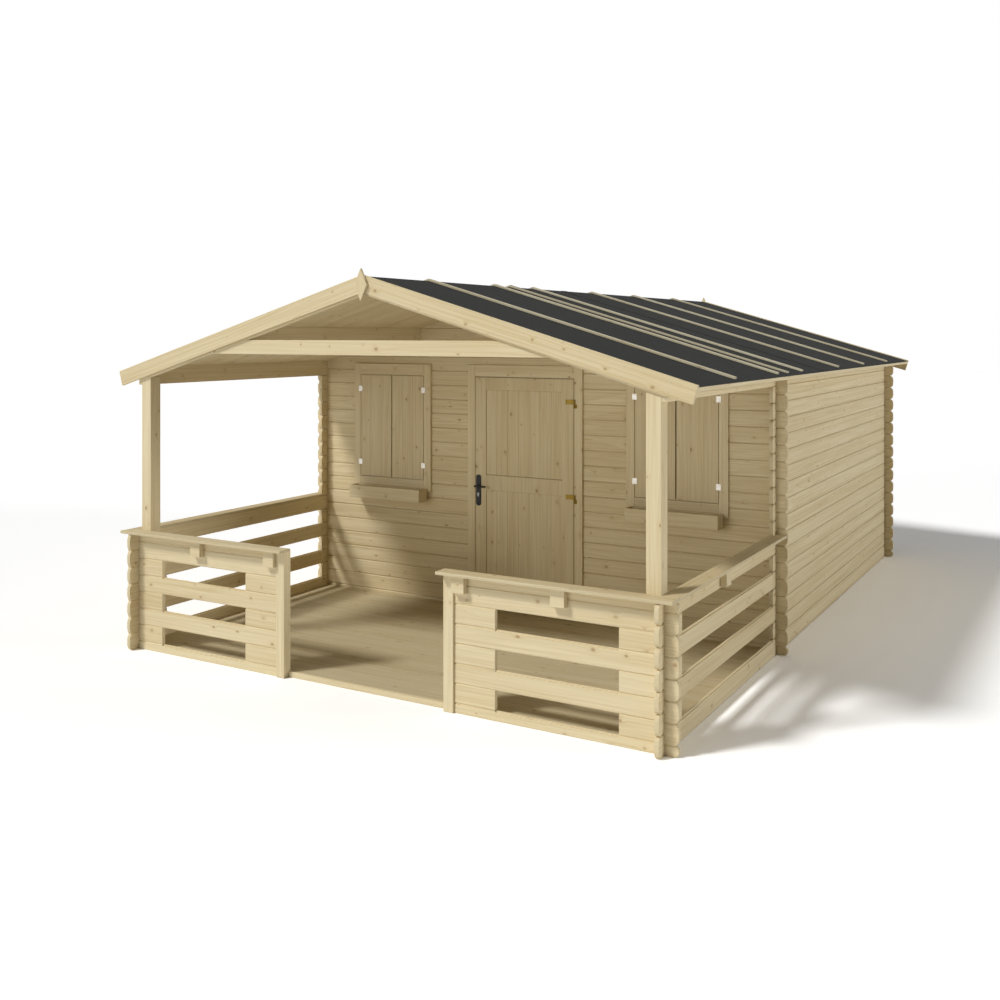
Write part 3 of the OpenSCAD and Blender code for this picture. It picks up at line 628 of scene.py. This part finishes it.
SHUTTER_X, SHUTTER_GAP, MEETING, CASING_W = 1.268, 0.004, 0.010, 0.068
SHUTTER_BOARDS = 3
BOX_T, BOX_EDGE = 0.018, 0.0025
low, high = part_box("shutters")
half = high[0] - SHUTTER_X
inner_half = half + SHUTTER_GAP
cas_low, cas_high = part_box("window_casings")
box_low, box_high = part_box("window_boxes")
box_half = box_high[0] - SHUTTER_X
leaves, sides, heads, box_boards = Piece(), Piece(), Piece(), Piece()
for side in (-1, 1):
    x = side * SHUTTER_X
    for x0, x1 in ((x - half, x - MEETING / 2), (x + MEETING / 2, x + half)):
        for a, b in runs(x0, x1, SHUTTER_BOARDS):
            leaves.board((a, low[1], low[2]), (b, high[1], high[2]), 0.0013)
    for x0 in (x - inner_half - CASING_W, x + inner_half):
        sides.board((x0, cas_low[1], cas_low[2]), (x0 + CASING_W, cas_high[1], cas_high[2]))
    for z0, z1 in ((cas_low[2], low[2] - SHUTTER_GAP), (high[2] + SHUTTER_GAP, cas_high[2])):
        heads.board((x - inner_half, cas_low[1] + BUTT, z0), (x + inner_half, cas_high[1], z1))
    x0, x1 = x - box_half, x + box_half
    y0, y1 = box_low[1], box_high[1]
    z0, z1 = box_low[2], box_high[2]
    box_boards.board((x0, y0, z0), (x1, y0 + BOX_T, z1), BOX_EDGE)
    box_boards.board((x0, y1 - BOX_T, z0), (x1, y1, z1), BOX_EDGE)
    box_boards.board((x0 + STEP, y0 + BOX_T, z0), (x0 + BOX_T, y1 - BOX_T, z1 - STEP), BOX_EDGE)
    box_boards.board((x1 - BOX_T, y0 + BOX_T, z0), (x1 - STEP, y1 - BOX_T, z1 - STEP), BOX_EDGE)
    box_boards.board((x0 + BOX_T, y0 + BOX_T, z0 + STEP), (x1 - BOX_T, y1 - BOX_T, z0 + BOX_T), 0.0015)
leaves.done("shutter_boards", "cabin", "spruce", "panel", "shutters")
sides.done("window_casing_sides", "cabin", "spruce", "z", "window_casings")
heads.done("window_casing_heads", "cabin", "spruce", "x")
box_boards.done("window_box_boards", "cabin", "spruce", "x", "window_boxes")

# Floor, light and camera

scene = bpy.context.scene
scene.view_settings.view_transform = "Standard"


def seen_by_camera(t):
    """1 for rays that show the background itself, in glossy and clear surfaces too."""
    path = t.node("ShaderNodeLightPath").outputs
    shown = t.math("MAXIMUM", path["Is Camera Ray"], path["Is Glossy Ray"])
    return t.math("MAXIMUM", shown, path["Is Transmission Ray"])


GROUND = 60.0
GROUND_BOUNCE, GROUND_SHOWN = 0.9, 1.23
ZENITH = 0.45
mesh = bpy.data.meshes.new("floor")
corners = [(x * GROUND, y * GROUND, 0) for x, y in ((-1, -1), (1, -1), (1, 1), (-1, 1))]
mesh.from_pydata(corners, [], [(0, 1, 2, 3)])
ground = bpy.data.objects.new("floor", mesh)
ground.location.z = -0.001
scene.collection.objects.link(ground)
m = material("pale_floor")
t = Tree(m)
diffuse = t.node("ShaderNodeBsdfDiffuse")
shown = t.ramp(seen_by_camera(t), 0.0, 1.0, GROUND_BOUNCE, GROUND_SHOWN, smooth=False)
t.put(diffuse.inputs["Color"], t.xyz(shown, shown, shown))
t.put(t.node("ShaderNodeOutputMaterial").inputs[0], diffuse.outputs[0])
ground.data.materials.append(m)

world = bpy.data.worlds.new("studio")
scene.world = world
world.use_nodes = True
t = Tree(world)
sky = t.node("ShaderNodeBackground")
sky.inputs["Color"].default_value = (1, 1, 1, 1)
up = t.split(t.node("ShaderNodeTexCoord").outputs["Generated"])[2]
soft = t.ramp(up, 0.4, 1.0, 0.0, ZENITH)
t.put(sky.inputs["Strength"], t.ramp(seen_by_camera(t), 0.0, 1.0, soft, 1.0, smooth=False))
t.put(t.node("ShaderNodeOutputWorld").inputs[0], sky.outputs[0])

# Strength, width in degrees and direction
LAMPS = {
    "key": (2.26, 10, (0.420, 0.530, -0.737)),
    "fill_front": (0.95, 30, (0.33, 1.0, -0.07)),
    "fill_right": (1.12, 16, (-1.0, -0.36, -0.14)),
}
for name, (energy, angle, direction) in LAMPS.items():
    light = bpy.data.lights.new(name, "SUN")
    light.energy = energy
    light.angle = math.radians(angle)
    lamp = bpy.data.objects.new(name, light)
    lamp.rotation_mode = "QUATERNION"
    lamp.rotation_quaternion = Vector(direction).to_track_quat("-Z", "Y")
    scene.collection.objects.link(lamp)

SENSOR, FOCAL = 36.0, 1.092    # focal length as a share of the picture's width
lens = bpy.data.cameras.new("camera")
lens.sensor_width = SENSOR
lens.lens = SENSOR * FOCAL
lens.shift_y = -0.166
camera = bpy.data.objects.new("camera", lens)
camera.location = (4.134, -8.559, 2.2346)
camera.rotation_euler = (math.radians(90), 0, math.radians(29.962))
scene.collection.objects.link(camera)
scene.camera = camera
